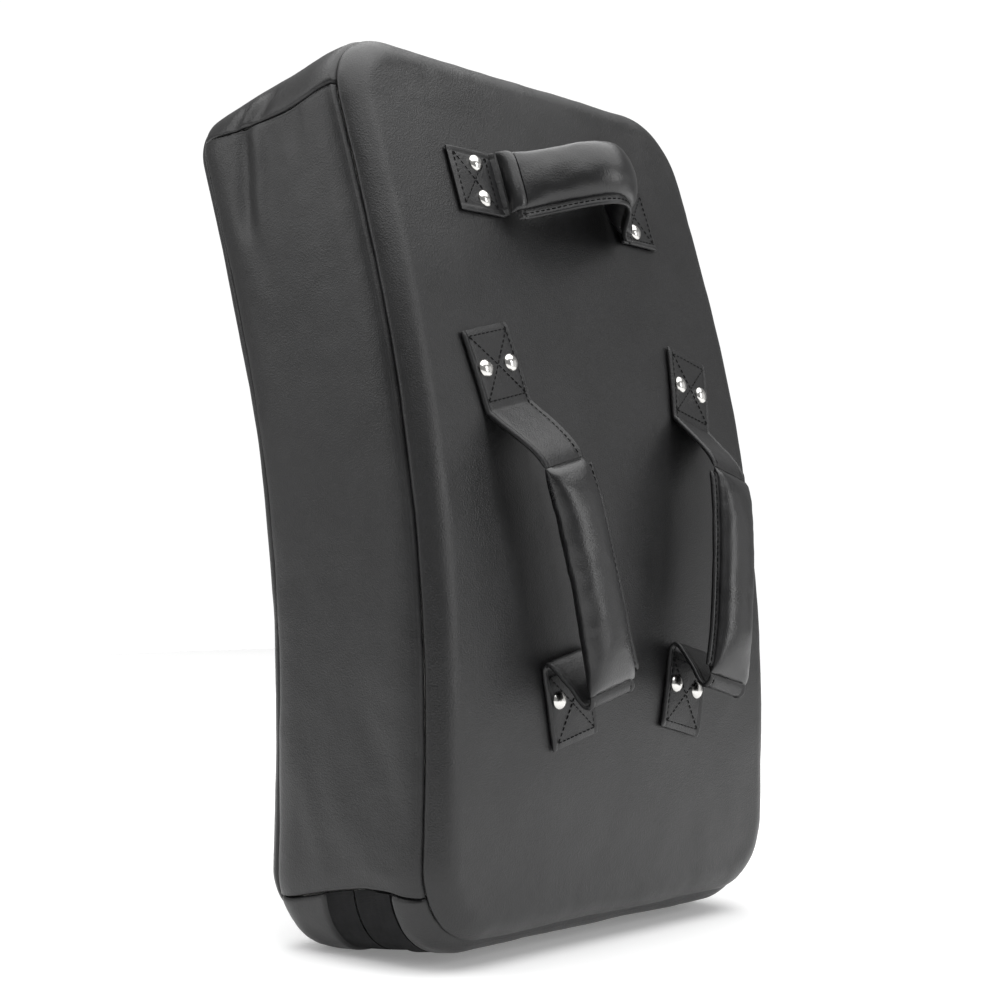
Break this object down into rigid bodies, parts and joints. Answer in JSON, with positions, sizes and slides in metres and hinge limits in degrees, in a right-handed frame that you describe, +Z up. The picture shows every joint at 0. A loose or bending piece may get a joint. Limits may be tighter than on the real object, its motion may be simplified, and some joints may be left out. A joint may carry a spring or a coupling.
{
  "type": "kick shield",
  "caption": "Large curved padded strike shield in black leather, with padded riveted grip straps on its back and a zip across its lower end.",
  "frame": {"origin": "on the floor under the middle of the bounding box, with the pad standing on its zipped lower end", "axes": "+Z up along the pad's length, +Y out of the hollow striking side, -Y towards the person who holds the grips, +X to the right as seen from the grips"},
  "size_m": [0.406, 0.3194, 0.6434],
  "materials": {
    "cover_leather": "matte black grained synthetic leather with a satin sheen",
    "strap_leather": "matte black folded leather strap with black box stitching",
    "grip_leather": "smooth satin black leather drawn over padding",
    "piping_leather": "folded black leather edge, stitched",
    "zip_tape": "matte black woven tape",
    "zip_coil": "black moulded coil",
    "zip_metal": "dark lacquered zinc",
    "rivet_nickel": "polished nickel dome",
    "foam": "closed-cell foam, hidden inside the cover",
    "backing_fabric": "woven backing strip, hidden inside the cover"
  },
  "bodies": {
    "pad": {"back_panel": "cover_leather", "bottom_gusset_front": "cover_leather", "bottom_gusset_rear": "cover_leather", "foam_comfort_layer": "foam", "foam_core_layer": "foam", "foam_impact_layer": "foam", "left_backing_patch": "backing_fabric", "left_gusset": "cover_leather", "left_handle_lower_end": "strap_leather", "left_handle_upper_end": "strap_leather", "right_backing_patch": "backing_fabric", "right_gusset": "cover_leather", "right_handle_lower_end": "strap_leather", "right_handle_upper_end": "strap_leather", "rivet_left_lower_1": "rivet_nickel", "rivet_left_lower_2": "rivet_nickel", "rivet_left_upper_1": "rivet_nickel", "rivet_left_upper_2": "rivet_nickel", "rivet_right_lower_1": "rivet_nickel", "rivet_right_lower_2": "rivet_nickel", "rivet_right_upper_1": "rivet_nickel", "rivet_right_upper_2": "rivet_nickel", "rivet_top_left_1": "rivet_nickel", "rivet_top_left_2": "rivet_nickel", "rivet_top_right_1": "rivet_nickel", "rivet_top_right_2": "rivet_nickel", "strike_panel": "cover_leather", "top_backing_patch": "backing_fabric", "top_gusset": "cover_leather", "top_handle_left_end": "strap_leather", "top_handle_right_end": "strap_leather", "zip_closed_end_stop": "zip_metal", "zip_coil_front": "zip_coil", "zip_coil_rear": "zip_coil", "zip_guard": "zip_tape", "zip_open_end_stop": "zip_metal", "zip_tape_front": "zip_tape", "zip_tape_rear": "zip_tape"},
    "zip_slider": {"zip_slider": "zip_metal"},
    "zip_pull": {"zip_pull": "zip_metal"},
    "top_handle": {"top_handle_strap": "strap_leather", "top_handle_grip_cover": "grip_leather", "top_handle_grip_edge": "piping_leather", "top_handle_grip_padding": "foam"},
    "left_handle": {"left_handle_strap": "strap_leather", "left_handle_grip_cover": "grip_leather", "left_handle_grip_edge": "piping_leather", "left_handle_grip_padding": "foam"},
    "right_handle": {"right_handle_strap": "strap_leather", "right_handle_grip_cover": "grip_leather", "right_handle_grip_edge": "piping_leather", "right_handle_grip_padding": "foam"}
  },
  "joints": [
    {"name": "zip_slide", "type": "slide", "parent": "pad", "child": "zip_slider", "axis": [1, 0, 0], "range_m": [-0.236, 0]},
    {"name": "zip_pull_swing", "type": "hinge", "parent": "zip_slider", "child": "zip_pull", "pos_m": [0.118, -0.03528, 0.0026], "axis": [0, -1, 0], "range_deg": [0, 100]},
    {"name": "top_handle_rock", "type": "hinge", "parent": "pad", "child": "top_handle", "pos_m": [0.0632, -0.04373, 0.54995], "axis": [-1, 0, 0], "range_deg": [-10, 10], "stiffness_Nm_per_rad": 1.5},
    {"name": "left_handle_rock", "type": "hinge", "parent": "pad", "child": "left_handle", "pos_m": [-0.07194, -0.12478, 0.19357], "axis": [-0.1952, 0.1357, 0.9713], "range_deg": [-12, 12], "stiffness_Nm_per_rad": 1.5},
    {"name": "right_handle_rock", "type": "hinge", "parent": "pad", "child": "right_handle", "pos_m": [0.07194, -0.12478, 0.19357], "axis": [0.1952, 0.1357, 0.9713], "range_deg": [-12, 12], "stiffness_Nm_per_rad": 1.5}
  ]
}
